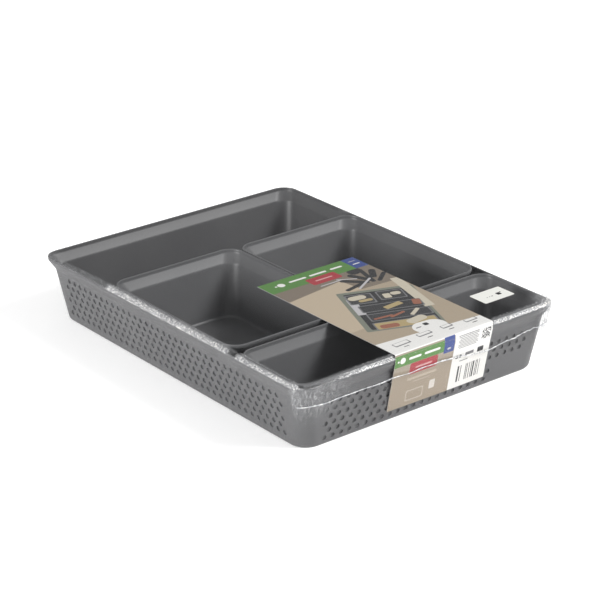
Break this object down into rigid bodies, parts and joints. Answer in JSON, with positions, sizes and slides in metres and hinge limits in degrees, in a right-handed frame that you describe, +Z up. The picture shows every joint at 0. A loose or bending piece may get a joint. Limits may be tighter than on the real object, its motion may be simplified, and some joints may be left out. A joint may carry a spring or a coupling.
{
  "type": "drawer organiser tray set",
  "caption": "Shallow tapered tray with smaller lift-out trays nested in it, a folded card label over the rims and a clear shrink film around everything.",
  "frame": {"origin": "middle of the outer tray's base, on the surface it stands on", "axes": "+Z up, +Y along the long side towards the open strip at the back, +X to the right when looking at the front wall"},
  "size_m": [0.3026, 0.4026, 0.0694],
  "materials": {
    "tray_plastic": "moulded dark grey polypropylene with a fine matte grain",
    "printed_card": null,
    "clear_film": "clear shrink film, glossy, with fine crinkles along the rims",
    "sticker_paper": "plain white paper label"
  },
  "bodies": {
    "outer": {"outer_tray": "tray_plastic"},
    "middle_left": {"middle_left_tray": "tray_plastic"},
    "middle_right": {"middle_right_tray": "tray_plastic"},
    "front": {"front_tray": "tray_plastic"},
    "wrap": {"label_card": "printed_card", "shrink_film": "clear_film", "film_sticker": "sticker_paper"}
  },
  "joints": [
    {"name": "wrap_lift", "type": "slide", "parent": "outer", "child": "wrap", "axis": [0, 0, 1], "range_m": [0, 0.2], "deforming": ["shrink_film", "label_card"]},
    {"name": "middle_left_lift", "type": "slide", "parent": "outer", "child": "middle_left", "axis": [0, 0, 1], "range_m": [0, 0.1]},
    {"name": "middle_right_lift", "type": "slide", "parent": "outer", "child": "middle_right", "axis": [0, 0, 1], "range_m": [0, 0.09]},
    {"name": "front_lift", "type": "slide", "parent": "outer", "child": "front", "axis": [0, 0, 1], "range_m": [0, 0.07]}
  ],
  "couplings": [
    {"joint": "middle_left_lift", "follows": "wrap_lift", "ratio": 0.5},
    {"joint": "middle_right_lift", "follows": "wrap_lift", "ratio": 0.45},
    {"joint": "front_lift", "follows": "wrap_lift", "ratio": 0.35}
  ]
}
